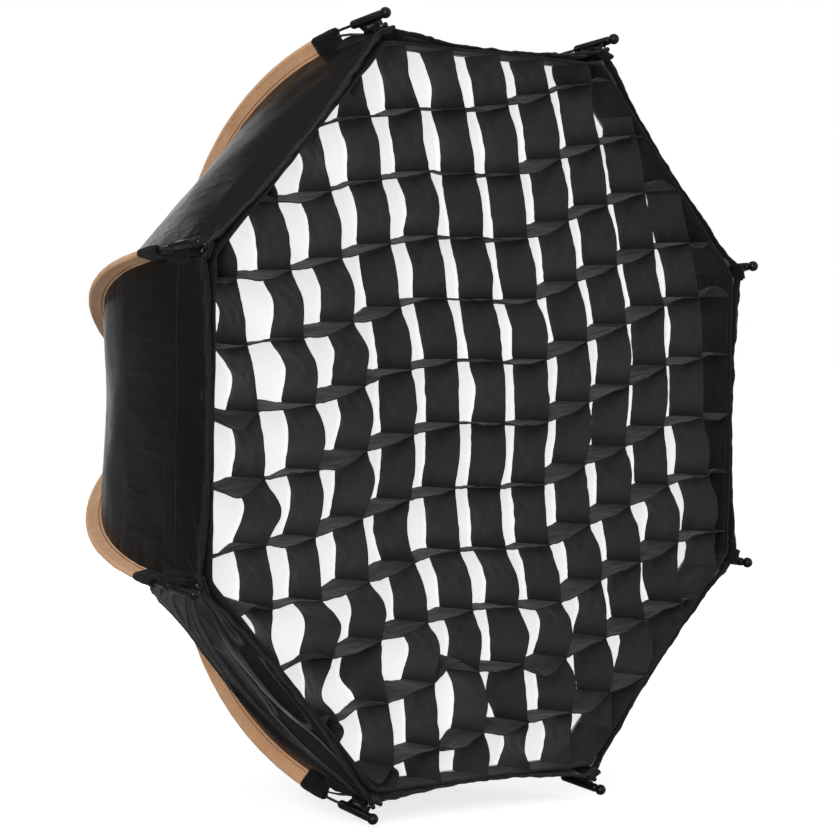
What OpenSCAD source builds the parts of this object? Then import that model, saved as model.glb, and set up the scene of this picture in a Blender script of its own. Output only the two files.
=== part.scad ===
// Octagonal folding softbox with a fabric honeycomb (egg-crate) grid on its front.
// Frame: +Z up, the softbox's axis lies along Y and its open front faces -Y.
// Origin: centre of the rear mount face, on the axis.
// Parts are drawn with the axis along +Z, front up, and laid down by face_front().

/* [Front opening] */
// Depth from the rear mount face to the front plane, in mm
depth = 388; // [384:1:392]
// Distance between opposite corners of the shell's front rim
across_corners = 650; // [646:1:654]
// Number of ribs, one at each corner of the octagon
ribs = 8; // [8]

/* [Rib curve] */
// Radius of the rib's curve, at the outer edge of its sleeve
bend = 448.4; // [446:0.2:451]
// How far the centre of that curve lies past the axis
bend_past = 111.2; // [110:0.2:112.5]
// How far the centre of that curve lies in front of the front plane
bend_front = 37.3; // [36:0.1:38.5]
// Lean of the tip cap away from the axis, in degrees
lean = 10.45; // [10.3:0.05:10.6]
// Diameter of the sprung steel rod
rod_d = 2.2; // [2:0.1:2.6]

/* [Fabric] */
// How far inside the rod the fabric shell lies
fabric_drop = 11; // [10:0.5:12]
// Thickness of a shell panel, both layers
cloth_t = 0.8; // [0.6:0.1:1.2]
// Outer radius of the tan rod sleeve
sleeve_r = 2.5; // [2.4:0.1:2.8]

/* [Grid] */
// Distance between neighbouring strips
pitch = 50; // [48:1:52]
// Strips on each side of the centre one
strips_each_side = 5; // [5]
// Depth of a strip, front to back
strip_depth = 38; // [34:1:40]
// Thickness of a strip
strip_t = 1.2; // [1:0.1:1.6]
// Half the distance across the inner flats of the grid's perimeter band
band_in = 289.5; // [286:0.5:290]
// Turn of the lattice of strips against the octagon's flats, in degrees
grid_turn = 10; // [0:0.5:15]

/* [Hub and mount] */
// Radius of the clear throat the light shines through
throat_r = 49; // [48:0.5:49.5]
// Radius of the journal that the hub turns on
journal_r = 52; // [52:0.5:52.5]
// Diameter of a hinge pin
pin_d = 4; // [3.5:0.5:4.5]

/* [Hidden] */

half_sector = 180 / ribs;
rod_r = rod_d / 2;
pin_r = pin_d / 2;
clearance = 0.05;
// the rod's centre line lies this far inside the rib's outer curve
rod_inset = 2.5;

// stations along the rib, each given by the curve's lean there
lean_rod_front = lean - 2.4;
lean_panel_front = 11.2;
lean_cuff_front = 12.2;
lean_cuff_back = 16.2;
lean_sleeve_end = 58.7;
lean_socket = 59.4;
lean_panel_end = 63.2;
lean_rod_end = 63.4;
lean_pivot = 65.2;

// a point inside the rib's outer curve by inset, as [radius, distance in front of the mount face]
function on_bend(inset, angle) = [
  (bend - inset) * cos(angle) - bend_past,
  depth + bend_front - (bend - inset) * sin(angle)];

// the hinge pin sits on the rod's curve
pivot = on_bend(rod_inset, lean_pivot);
pivot_r = pivot[0];
pivot_z = pivot[1];

// stack of parts on the journal, back to front
flange_t = 4;
washer_back = flange_t + clearance;
washer_t = 0.5;
hub_back = washer_back + washer_t + clearance;
hub_top = pivot_z + 7;
retainer_back = hub_top + 0.1;
retainer_t = 2;
cover_t = 2.4;
catch_back = hub_top + cover_t + clearance;
catch_t = 0.7;
catch_w = 8;
bore_h = 60;
screw_circle_r = 62;

module face_front() { rotate([90, 0, 0]) children(); }
// turns a part drawn at the +X side to each rib; use within face_front()
module turn_to_rib(i) { rotate([0, 0, half_sector * (2 * i - 1)]) children(); }
module at_rib(i) { face_front() turn_to_rib(i) children(); }
module at_all_ribs() { for (i = [1 : ribs]) at_rib(i) children(); }
// draws along the hinge pin's line, from side y towards -Y
module at_pivot(y) { translate([pivot_r, y, pivot_z]) rotate([90, 0, 0]) children(); }
module at_screw(z) { translate([screw_circle_r, 0, z]) children(); }
module screw_hole(z, h) { at_screw(z) cylinder(r = 1.5, h = h, $fn = 24); }
// sweeps a section along the rod's curve; the section's x points away from the curve's centre
module along_bend(from, to) {
  translate([-bend_past, 0, depth + bend_front]) rotate([-90, 0, 0]) rotate([0, 0, from])
    rotate_extrude(angle = to - from, $fn = 240) translate([bend - rod_inset, 0]) children();
}
// draws along the tip cap's straight line, +Z towards the tip; run counts from the rod's curve
module along_tip(run) {
  start = on_bend(rod_inset, lean);
  translate([start[0] + run * sin(lean), 0, start[1] + run * cos(lean)])
    rotate([0, lean, 0]) children();
}

// ---- mount: the part that locks to the light ----
module mount_insert() {
  spigot_z = -9;
  lug_size = [7, 2.6];
  color("#3a3a3c") face_front() difference() {
    union() {
      cylinder(r = 68, h = flange_t, $fn = 96);
      cylinder(r = journal_r - clearance, h = retainer_back + retainer_t, $fn = 96);
      translate([0, 0, spigot_z]) cylinder(r = 53, h = 0.5 - spigot_z, $fn = 96);
      // three lugs round the rear end
      for (k = [0 : 2]) rotate([0, 0, 30 + 120 * k]) translate([0, 0, spigot_z])
        rotate_extrude(angle = 28, $fn = 96) translate([52, 0]) square(lug_size);
    }
    translate([0, 0, -10]) cylinder(r = throat_r, h = bore_h, $fn = 96);
  }
}
module glide_washer() {
  color("#d8d6cc") face_front() translate([0, 0, washer_back]) difference() {
    cylinder(r = 66, h = washer_t, $fn = 96);
    translate([0, 0, -1]) cylinder(r = 52.3, h = 3, $fn = 96);
  }
}
// ring with two notches in its front outer edge
module retaining_ring() {
  color("#2b2b2d") face_front() translate([0, 0, retainer_back]) difference() {
    cylinder(r = 55, h = retainer_t, $fn = 96);
    translate([0, 0, -1]) cylinder(r = journal_r - 0.03, h = 4, $fn = 96);
    for (k = [0 : 1]) rotate([0, 0, 180 * k]) translate([54, -1.5, 1]) cube([3, 3, 3]);
  }
}

// ---- hub: turns on the mount and carries the rib hinges ----
ear_t = 4;
ear_gap = 10.4;
module ear() {
  ear_r = 6;
  root_r = 66;
  rotate([90, 0, 0]) linear_extrude(ear_t) union() {
    translate([pivot_r, pivot_z]) circle(r = ear_r, $fn = 36);
    translate([root_r, pivot_z - ear_r]) square([pivot_r - root_r, 2 * ear_r]);
  }
}
module hub_ring() {
  color("#242426") face_front() difference() {
    union() {
      translate([0, 0, hub_back]) cylinder(r = 69, h = hub_top - hub_back, $fn = 96);
      for (i = [1 : ribs]) turn_to_rib(i) {
        translate([0, -ear_gap / 2, 0]) ear();
        translate([0, ear_gap / 2 + ear_t, 0]) ear();
      }
    }
    cylinder(r = journal_r, h = bore_h, $fn = 96);
    for (i = [1 : ribs]) turn_to_rib(i) {
      at_pivot(15) cylinder(r = pin_r + 0.02, h = 30, $fn = 36);
      screw_hole(hub_top - 10, 12);
    }
  }
}
// plate with a rim turned forward, slotted at each rib
module hub_cover() {
  cover_r = 84;
  slot_w = 11.2;
  color("#2c2c2e") face_front() difference() {
    union() {
      translate([0, 0, hub_top]) cylinder(r = cover_r, h = cover_t, $fn = 96);
      translate([0, 0, hub_top]) difference() {
        cylinder(r = cover_r, h = 6, $fn = 96);
        translate([0, 0, -1]) cylinder(r = cover_r - cover_t, h = 9, $fn = 96);
      }
    }
    translate([0, 0, hub_top - 1]) cylinder(r = 55.5, h = 9, $fn = 96);
    for (i = [1 : ribs]) turn_to_rib(i) {
      translate([69.6, -slot_w / 2, hub_top - 1]) cube([20, slot_w, 9]);
      screw_hole(hub_top - 1, 6);
    }
  }
}
module cover_screws() {
  color("#8c8c90") at_all_ribs() difference() {
    union() {
      at_screw(hub_top - 7) cylinder(r = 1.45, h = 10.3, $fn = 24);
      at_screw(catch_back + catch_t + 0.1) cylinder(r = 2.8, h = 1.9, $fn = 36);
    }
    // hex recess
    at_screw(hub_top + 4.2) cylinder(r = 1.3, h = 2, $fn = 6);
  }
}
module hinge_pins() {
  pin_length = 20;
  color("#a9a9ad") at_all_ribs() at_pivot(10.4) union() {
    cylinder(r = pin_r, h = pin_length, $fn = 36);
    // a head at each end
    translate([0, 0, -0.2]) cylinder(r = 3.1, h = 1.2, $fn = 36);
    translate([0, 0, pin_length - 0.2]) cylinder(r = 3.1, h = 1.2, $fn = 36);
  }
}
// flat tongue under each screw, with a short leg turned back at its outer end
module rib_catches() {
  inner_r = 57;
  length = 14.1;
  color("#b9b9bd") at_all_ribs() difference() {
    union() {
      translate([inner_r, -catch_w / 2, catch_back]) cube([length, catch_w, catch_t]);
      translate([inner_r + length - catch_t, -catch_w / 2, pivot_z + 6.6])
        cube([catch_t, catch_w, 3.4]);
    }
    screw_hole(hub_top, 6);
  }
}

// ---- rib: rod, hinged socket, sewn sleeve and tip cap ----
module rod(i) {
  color("#5a5a5e") at_rib(i)
    along_bend(lean_rod_front, lean_rod_end) circle(r = rod_r, $fn = 24);
}
module socket(i) {
  eye_w = 10;
  color("#2a2a2c") at_rib(i) difference() {
    union() {
      along_bend(lean_socket, lean_pivot - 0.2) circle(r = 4.4, $fn = 36);
      at_pivot(eye_w / 2) cylinder(r = 5.5, h = eye_w, $fn = 48);
    }
    along_bend(lean_socket - 1, lean_rod_end + 0.05) circle(r = rod_r + clearance, $fn = 24);
    at_pivot(eye_w / 2 + 1) cylinder(r = pin_r + 0.06, h = eye_w + 2, $fn = 36);
  }
}
// a tube for the rod with a flat flange that is sewn to the shell's seam
module flanged_tube(r, flange_w) {
  flange_inner = -fabric_drop + cloth_t / 2 + 0.3;
  flange_outer = -2;
  difference() {
    union() {
      circle(r = r, $fn = 36);
      translate([flange_inner, -flange_w / 2]) square([flange_outer - flange_inner, flange_w]);
    }
    circle(r = 1.5, $fn = 24);
  }
}
// the tan sleeve and, a hair in front of it, the webbing cuff that ends it
module sleeve(i) {
  color("#c8966c") at_rib(i) {
    along_bend(lean_cuff_front, lean_cuff_back) flanged_tube(r = 3.2, flange_w = 3);
    along_bend(lean_cuff_back + 0.02, lean_sleeve_end) flanged_tube(r = sleeve_r, flange_w = 2);
  }
}
// barrel, neck and ball, with a flat tab on the side towards the axis
module tip_cap(i) {
  color("#1c1c1e") at_rib(i) difference() {
    union() {
      along_tip(7) cylinder(r = 3.5, h = 37, $fn = 36);
      along_tip(42) cylinder(r = 2.6, h = 6, $fn = 36);
      along_tip(48.2) sphere(r = 4.5, $fn = 36);
      along_tip(20) translate([-9.4, -1.5, 0]) cube([6.8, 3, 18]);
    }
    along_tip(6) cylinder(r = 1.9, h = 16, $fn = 24);
  }
}

// ---- shell: one panel between two ribs, creased down its middle ----
panel_reach = 140;
crease_gap = 0.15;
seam_gap = 0.3;
// from the front edge back to the hub; off is how far inside the cloth's middle it lies
function panel_profile(off, steps = 12) = concat(
  [[across_corners / 2 - off, depth - 0.5]],
  [for (k = [0 : steps]) on_bend(rod_inset + fabric_drop + off,
    lean_panel_front + (lean_panel_end - lean_panel_front) * k / steps)]);
function flip(points) = [for (k = [len(points) - 1 : -1 : 0]) points[k]];
function seam_y(x) = x * tan(half_sector) - seam_gap;

module panel_band() {
  outline = concat(panel_profile(-cloth_t / 2), flip(panel_profile(cloth_t / 2)));
  linear_extrude(panel_reach) polygon([for (p = outline) [p[0] * cos(half_sector), p[1]]]);
}
// side is -1 for the half next to rib i, and 1 for the half next to rib i + 1
module panel_half(i, side) {
  near = 5;
  far = 380;
  wedge = [[near, crease_gap], [far, crease_gap], [far, seam_y(far)], [near, seam_y(near)]];
  color("#232120") face_front() rotate([0, 0, 2 * half_sector * i]) intersection() {
    translate([0, side > 0 ? panel_reach : 0, 0]) rotate([90, 0, 0]) panel_band();
    linear_extrude(depth + 10) polygon([for (p = wedge) [p[0], side * p[1]]]);
  }
}

// ---- front: diffuser and honeycomb grid ----
// flat_r is half the distance across flats
module octagon(flat_r) {
  rotate(half_sector) circle(r = flat_r / cos(half_sector), $fn = 8);
}
module diffuser() {
  color("white") face_front() translate([0, 0, depth - 43.4]) linear_extrude(0.8) octagon(288.5);
}
// a strip before it is cut to length, along X, with half-depth slots where strips cross
module strip(front_slots) {
  length = 620;
  slack = 0.2;
  overcut = 1;
  linear_extrude(strip_t) difference() {
    translate([-length / 2, 0]) square([length, strip_depth]);
    for (k = [-strips_each_side : strips_each_side])
      translate([k * pitch - strip_t / 2 - slack,
                 front_slots ? strip_depth / 2 - slack : -overcut])
        square([strip_t + 2 * slack, strip_depth / 2 + slack + overcut]);
  }
}
// all the strips that run one way, cut to the octagon inside the perimeter band
module comb(front_slots) {
  intersection() {
    translate([0, 0, depth - 50]) linear_extrude(60) octagon(band_in - 0.6);
    rotate([0, 0, grid_turn + (front_slots ? 90 : 0)])
      for (k = [-strips_each_side : strips_each_side])
        translate([0, k * pitch + strip_t / 2, depth - 2 - strip_depth])
          rotate([90, 0, 0]) strip(front_slots);
  }
}
module grid_horizontal_strips() { color("#2a2a2a") face_front() comb(false); }
module grid_vertical_strips() { color("#262626") face_front() comb(true); }
module grid_band() {
  color("#1e1e1e") face_front() translate([0, 0, depth - 41]) linear_extrude(40) difference() {
    octagon(band_in + 1.6);
    octagon(band_in);
  }
}

mount_insert();
glide_washer();
retaining_ring();
hub_ring();
hub_cover();
cover_screws();
hinge_pins();
rib_catches();
rod(1);  // rod_1
rod(2);  // rod_2
rod(3);  // rod_3
rod(4);  // rod_4
rod(5);  // rod_5
rod(6);  // rod_6
rod(7);  // rod_7
rod(8);  // rod_8
socket(1);  // socket_1
socket(2);  // socket_2
socket(3);  // socket_3
socket(4);  // socket_4
socket(5);  // socket_5
socket(6);  // socket_6
socket(7);  // socket_7
socket(8);  // socket_8
sleeve(1);  // sleeve_1
sleeve(2);  // sleeve_2
sleeve(3);  // sleeve_3
sleeve(4);  // sleeve_4
sleeve(5);  // sleeve_5
sleeve(6);  // sleeve_6
sleeve(7);  // sleeve_7
sleeve(8);  // sleeve_8
tip_cap(1);  // tip_cap_1
tip_cap(2);  // tip_cap_2
tip_cap(3);  // tip_cap_3
tip_cap(4);  // tip_cap_4
tip_cap(5);  // tip_cap_5
tip_cap(6);  // tip_cap_6
tip_cap(7);  // tip_cap_7
tip_cap(8);  // tip_cap_8
panel_half(1, -1);  // panel_1_a
panel_half(1, 1);  // panel_1_b
panel_half(2, -1);  // panel_2_a
panel_half(2, 1);  // panel_2_b
panel_half(3, -1);  // panel_3_a
panel_half(3, 1);  // panel_3_b
panel_half(4, -1);  // panel_4_a
panel_half(4, 1);  // panel_4_b
panel_half(5, -1);  // panel_5_a
panel_half(5, 1);  // panel_5_b
panel_half(6, -1);  // panel_6_a
panel_half(6, 1);  // panel_6_b
panel_half(7, -1);  // panel_7_a
panel_half(7, 1);  // panel_7_b
panel_half(8, -1);  // panel_8_a
panel_half(8, 1);  // panel_8_b
diffuser();
grid_vertical_strips();
grid_horizontal_strips();
grid_band();
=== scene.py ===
# An eight-sided softbox: a cloth shell on eight bent ribs round a hub, with a diffuser and a cloth
# grid in its mouth. Its axis lies along Y, with the mount face at Y = 0, the mouth facing -Y and
# Z up. Shapes are worked out in mm (x right and y up as seen from the front, z ahead of the mount
# face) and turned into the frame's metres by to_world().
import math
import bpy
import numpy as np
from mathutils import Matrix, Vector


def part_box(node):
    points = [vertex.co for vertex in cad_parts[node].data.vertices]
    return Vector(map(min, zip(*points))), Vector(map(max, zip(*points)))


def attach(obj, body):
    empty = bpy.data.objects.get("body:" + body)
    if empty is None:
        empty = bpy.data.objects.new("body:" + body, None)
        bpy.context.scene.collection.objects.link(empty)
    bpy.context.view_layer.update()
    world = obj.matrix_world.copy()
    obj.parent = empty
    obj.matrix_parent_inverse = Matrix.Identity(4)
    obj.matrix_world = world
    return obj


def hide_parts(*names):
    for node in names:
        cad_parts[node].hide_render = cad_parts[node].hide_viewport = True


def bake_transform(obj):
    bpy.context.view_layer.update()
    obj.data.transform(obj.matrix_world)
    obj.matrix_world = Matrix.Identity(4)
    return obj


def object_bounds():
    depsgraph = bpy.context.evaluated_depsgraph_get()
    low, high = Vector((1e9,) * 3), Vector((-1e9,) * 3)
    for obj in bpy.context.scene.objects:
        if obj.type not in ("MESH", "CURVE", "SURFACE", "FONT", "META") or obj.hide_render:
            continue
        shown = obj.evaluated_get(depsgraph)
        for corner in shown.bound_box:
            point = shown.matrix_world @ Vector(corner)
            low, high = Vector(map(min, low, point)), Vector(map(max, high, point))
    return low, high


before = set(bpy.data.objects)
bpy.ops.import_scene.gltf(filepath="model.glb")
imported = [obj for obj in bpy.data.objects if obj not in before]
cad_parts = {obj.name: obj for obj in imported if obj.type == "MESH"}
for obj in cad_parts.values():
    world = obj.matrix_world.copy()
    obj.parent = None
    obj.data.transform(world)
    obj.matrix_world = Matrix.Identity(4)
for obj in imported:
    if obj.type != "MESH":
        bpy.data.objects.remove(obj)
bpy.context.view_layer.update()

MM = 0.001

# ---------------------------------------------------------------- driving dimensions (mm, degrees)
SIDES = range(1, 9)
HALF = 22.5                      # half the angle of one side
CH, SH = math.cos(math.radians(HALF)), math.sin(math.radians(HALF))
FRONT = -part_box("panel_1_a")[0].y * 1000 + 0.5      # front plane, ahead of the mount face
BEND = 448.4                     # radius of the ribs' bend
PAST = 111.2                     # the bend's centre lies this far past the axis
BEND_AHEAD = 37.3                # and this far ahead of the front plane
CORE = 2.5                       # the rod's centre line lies this far inside the bend
DROP = 13.5                      # and the cloth this far
LEAN = 10.45                     # lean of the tip caps from the axis
BAND = 289.5                     # apothem of the grid's band
PITCH, STRIP, TURN = 50.0, 38.0, 10.0               # grid: spacing, depth and turn of its strips
NOISE_TABLE = np.random.RandomState(651).rand(256, 256)


def rib_angle(rib):
    return HALF + 45.0 * ((rib - 1) % 8)


def to_world(x, y, z):
    x, y, z = np.broadcast_arrays(x, y, z)
    return np.stack([x, -z, y], -1) * MM


def at_angle(angle, x, y, z):
    """World place of a point whose x axis is turned by angle round the softbox's axis."""
    cos, sin = math.cos(math.radians(angle)), math.sin(math.radians(angle))
    return to_world(x * cos - y * sin, x * sin + y * cos, z)


def on_bend(inset, angle):
    """Radius and z on the ribs' bend, inset mm inside it."""
    angle = np.radians(angle)
    radius = (BEND - inset) * np.cos(angle) - PAST
    return radius, FRONT + BEND_AHEAD - (BEND - inset) * np.sin(angle)


def smooth(x):
    x = np.clip(x, 0, 1)
    return x * x * (3 - 2 * x)


def bell(x, centre, width):
    return np.exp(-((x - centre) / width) ** 2)


def noise(x, y, seed=0):
    """Smooth value noise, -1..1."""
    x, y = np.broadcast_arrays(np.asarray(x, float) + 17.3 * seed + 700,
                               np.asarray(y, float) + 9.1 * seed + 700)
    column, row = np.floor(x).astype(int), np.floor(y).astype(int)
    part_x, part_y = smooth(x - column), smooth(y - row)

    def blend(row):
        here = NOISE_TABLE[column % 256, row % 256]
        after = NOISE_TABLE[(column + 1) % 256, row % 256]
        return here * (1 - part_x) + after * part_x

    return (blend(row) * (1 - part_y) + blend(row + 1) * part_y) * 2 - 1


def layered(x, y, seed, octaves):
    """Noise summed over octaves."""
    return sum(noise(np.asarray(x) * 2 ** k, np.asarray(y) * 2 ** k, seed + 5 * k) * 0.5 ** k
               for k in range(octaves))


# ---------------------------------------------------------------- mesh building
class Mesh:
    """Gathers points and faces, and makes one object of them."""

    def __init__(self):
        self.points, self.corners, self.sizes = [], [], []
        self.slots, self.uvs, self.normals = [], [], []
        self.count = 0

    def add_points(self, points):
        """Adds points in metres and gives the number of the first."""
        first = self.count
        points = np.asarray(points, float).reshape(-1, 3)
        self.points.append(points)
        self.count += len(points)
        return first

    def add_faces(self, first, faces, slot=0, uv=None, normals=None):
        """faces (M, k) count from first, as do the rows of uv and normals."""
        corners = faces.ravel()

        def rows(values, width):
            if values is None:
                return np.zeros((len(corners), width))
            return values.reshape(-1, width)[corners]

        self.corners.append(corners + first)
        self.sizes.append(np.full(len(faces), faces.shape[1]))
        self.slots.append(np.full(len(faces), slot))
        self.uvs.append(rows(uv, 2))
        self.normals.append(rows(normals, 3))

    def make(self, name, materials):
        points, corners = np.concatenate(self.points), np.concatenate(self.corners)
        sizes = np.concatenate(self.sizes)
        starts = np.concatenate([[0], np.cumsum(sizes)[:-1]])
        mesh = bpy.data.meshes.new(name)
        mesh.vertices.add(len(points))
        mesh.vertices.foreach_set("co", points.astype(np.float32).ravel())
        mesh.loops.add(len(corners))
        mesh.loops.foreach_set("vertex_index", corners.astype(np.int32))
        mesh.polygons.add(len(sizes))
        mesh.polygons.foreach_set("loop_start", starts.astype(np.int32))
        mesh.polygons.foreach_set("material_index", np.concatenate(self.slots).astype(np.int32))
        mesh.polygons.foreach_set("use_smooth", np.ones(len(sizes), bool))
        layer = mesh.uv_layers.new(name="UVMap")
        mesh.update(calc_edges=True)
        layer.data.foreach_set("uv", np.concatenate(self.uvs).astype(np.float32).ravel())
        for material in materials:
            mesh.materials.append(material)
        mesh.validate(clean_customdata=False)
        normals = np.concatenate(self.normals)
        mesh.set_sharp_from_angle(angle=math.radians(40))
        # validate() may drop faces, and then the normals no longer match the corners
        if np.abs(normals).max() > 0 and len(normals) == len(mesh.loops):
            mesh.normals_split_custom_set(normals.tolist())
        obj = bpy.data.objects.new(name, mesh)
        bpy.context.scene.collection.objects.link(obj)
        return obj


def unit(vectors):
    return vectors / np.maximum(np.linalg.norm(vectors, axis=-1, keepdims=True), 1e-12)


def directions(path):
    return unit(np.gradient(path, axis=0))


def travel(points):
    """Distance covered on reaching each point."""
    steps = np.linalg.norm(np.diff(points, axis=0), axis=1)
    return np.concatenate([[0], np.cumsum(steps)])


def uv_map(u, v, scale=MM):
    return np.stack(np.broadcast_arrays(u, v), -1) * scale


def looks_away(points, face, direction):
    first, second, third = points[face[:3]]
    return np.cross(second - first, third - second) @ direction < 0


def grid_normals(grid, wrap=False):
    if wrap:
        step = np.roll(grid, -1, 0) - np.roll(grid, 1, 0)
    else:
        step = np.gradient(grid, axis=0)
    return unit(np.cross(step, np.gradient(grid, axis=1)))


def quads(rows, columns, wrap_rows=False, wrap_columns=False):
    index = np.arange(rows * columns).reshape(rows, columns)
    if wrap_rows:
        index = np.vstack([index, index[:1]])
    if wrap_columns:
        index = np.hstack([index, index[:, :1]])
    faces = np.stack([index[:-1, :-1], index[1:, :-1], index[1:, 1:], index[:-1, 1:]], -1)
    return faces.reshape(-1, 4), index


def sheet(mesh, grid, thickness, uv, slots, normals=None, wrap=False, edge=0.0):
    """A closed thin sheet round a grid of points. slots are for its top, underside and edges;
    edge thickens its long borders. Lengths in metres."""
    rows, columns = grid.shape[:2]
    if normals is None:
        normals = grid_normals(grid, wrap)
    half = np.full((rows, columns, 1), thickness / 2.0)
    if edge:
        half[:, :1] += edge
        half[:, -1:] += edge
    faces, index = quads(rows, columns, wrap_rows=wrap)
    under = rows * columns
    first = mesh.add_points(np.stack([grid + normals * half, grid - normals * half]))
    uv = np.stack([uv, uv])
    normals = np.stack([normals, -normals])
    mesh.add_faces(first, faces, slots[0], uv, normals)
    mesh.add_faces(first, faces[:, ::-1] + under, slots[1], uv, normals)
    borders = [(index[1:, 0], index[:-1, 0]), (index[:-1, -1], index[1:, -1])]
    if not wrap:
        borders += [(index[0, :-1], index[0, 1:]), (index[-1, 1:], index[-1, :-1])]
    sides = [np.stack([here, after, after + under, here + under], -1) for here, after in borders]
    mesh.add_faces(first, np.concatenate(sides), slots[2], uv)


def loft(mesh, rings, slot=0, uv=None):
    """A closed skin over rings (rings, points, 3) in metres, with fan caps."""
    count, size = rings.shape[:2]
    middle = count // 2
    if uv is None:
        uv = uv_map(travel(rings.mean(1))[:, None], travel(rings[middle])[None], scale=1)
    first = mesh.add_points(np.concatenate([rings.reshape(-1, 3), rings[[0, -1]].mean(1)]))
    uv = np.concatenate([uv.reshape(-1, 2), uv[[0, -1]].mean(1)])
    skin, _ = quads(count, size, wrap_columns=True)
    here = np.arange(size)
    after = (here + 1) % size
    last = (count - 1) * size
    start = np.stack([here, after, np.full(size, count * size)], -1)
    end = np.stack([after + last, here + last, np.full(size, count * size + 1)], -1)
    # the faces look outwards whichever way the rings turn
    spokes = rings[middle] - rings[middle].mean(0)
    ahead = rings[middle + 1].mean(0) - rings[middle - 1].mean(0)
    flip = np.cross(spokes, np.roll(spokes, -1, 0)).sum(0) @ ahead > 0
    for faces in (skin, start, end):
        mesh.add_faces(first, faces[:, ::-1] if flip else faces, slot, uv)


def tube(mesh, path, reference, outline, slot=0, scale=1.0):
    """Sweeps an outline in mm along a path in metres; reference gives its first axis."""
    along = directions(path)
    across = unit(reference - along * (reference * along).sum(-1, keepdims=True))
    second = np.cross(along, across)
    scale = np.broadcast_to(scale, len(path))[:, None, None]
    outline = outline * MM
    loft(mesh, path[:, None] + across[:, None] * (outline[None, :, :1] * scale)
         + second[:, None] * (outline[None, :, 1:] * scale), slot)


def round_rect(width, height, radius, steps=4):
    x, y = width / 2 - radius, height / 2 - radius
    points = []
    for corner_x, corner_y, start in ((x, y, 0), (-x, y, 90), (-x, -y, 180), (x, -y, 270)):
        for k in range(steps + 1):
            angle = math.radians(start + 90 * k / steps)
            points.append((corner_x + radius * math.cos(angle),
                           corner_y + radius * math.sin(angle)))
    return np.array(points)


def circle(radius, count):
    angle = np.arange(count) * 2 * math.pi / count
    return np.stack([np.cos(angle), np.sin(angle)], -1) * radius


def resample(outline, count):
    """Evenly spaced points round a closed outline, their distances along it and its length."""
    closed = np.vstack([outline, outline[:1]])
    reached = travel(closed)
    around = np.linspace(0, reached[-1], count, endpoint=False)
    points = np.stack([np.interp(around, reached, closed[:, k]) for k in (0, 1)], -1)
    return points, around, reached[-1]


def stitches(mesh, points, normals, slot, gap=0.28, radius=0.28):
    """Short threads between successive points: gap is the bare share of a step, radius in mm."""
    radius = radius * MM
    steps = np.diff(points, axis=0)
    along = steps / np.maximum(np.linalg.norm(steps, axis=1, keepdims=True), 1e-9)
    up = unit(np.broadcast_to(normals, points.shape)[:-1])
    aside = np.cross(along, up)
    places = np.array([gap / 2, gap / 2 + 0.08, 0.5, 1 - gap / 2 - 0.08, 1 - gap / 2])
    lift = np.array([-0.6, 0.35, 0.75, 0.35, -0.6])
    swell = np.array([0.45, 1, 1.1, 1, 0.45])
    turn = (np.arange(6) * math.pi / 3)[:, None]
    centres = (points[:-1, None] + steps[:, None] * places[:, None]
               + up[:, None] * radius * lift[:, None])
    around = aside[:, None] * np.cos(turn) * 1.2 + up[:, None] * np.sin(turn)
    threads = centres[:, :, None] + around[:, None] * (radius * swell)[:, None, None]
    here = np.arange(6)
    after = (here + 1) % 6
    skin = np.concatenate([
        np.stack([k + here, k + after, k + 6 + after, k + 6 + here], -1) for k in (0, 6, 12, 18)])
    start, end = np.array([[0, 5, 4, 3, 2, 1]]), np.array([[24, 25, 26, 27, 28, 29]])
    thread = threads[0].reshape(-1, 3)
    flip = looks_away(thread, skin[0], thread[skin[0]].mean(0) - thread.mean(0))
    offsets = (np.arange(len(steps)) * 30)[:, None, None]
    first = mesh.add_points(threads)
    for faces in (skin, start, end):
        faces = faces[:, ::-1] if flip else faces
        mesh.add_faces(first, (faces[None] + offsets).reshape(-1, faces.shape[1]), slot)


# ---------------------------------------------------------------- materials
def set_input(tree, node, key, value):
    """Links a socket or sets a value; three numbers for a colour get an alpha of 1."""
    socket = node.inputs[key]
    if isinstance(value, bpy.types.NodeSocket):
        tree.links.new(value, socket)
    elif isinstance(value, (tuple, list)) and len(value) == 3 and socket.type == "RGBA":
        socket.default_value = (*value, 1)
    else:
        socket.default_value = value


def add_node(tree, kind, inputs=None, **props):
    node = tree.nodes.new(kind)
    for key, value in props.items():
        setattr(node, key, value)
    for key, value in (inputs or {}).items():
        set_input(tree, node, key, value)
    return node


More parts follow.
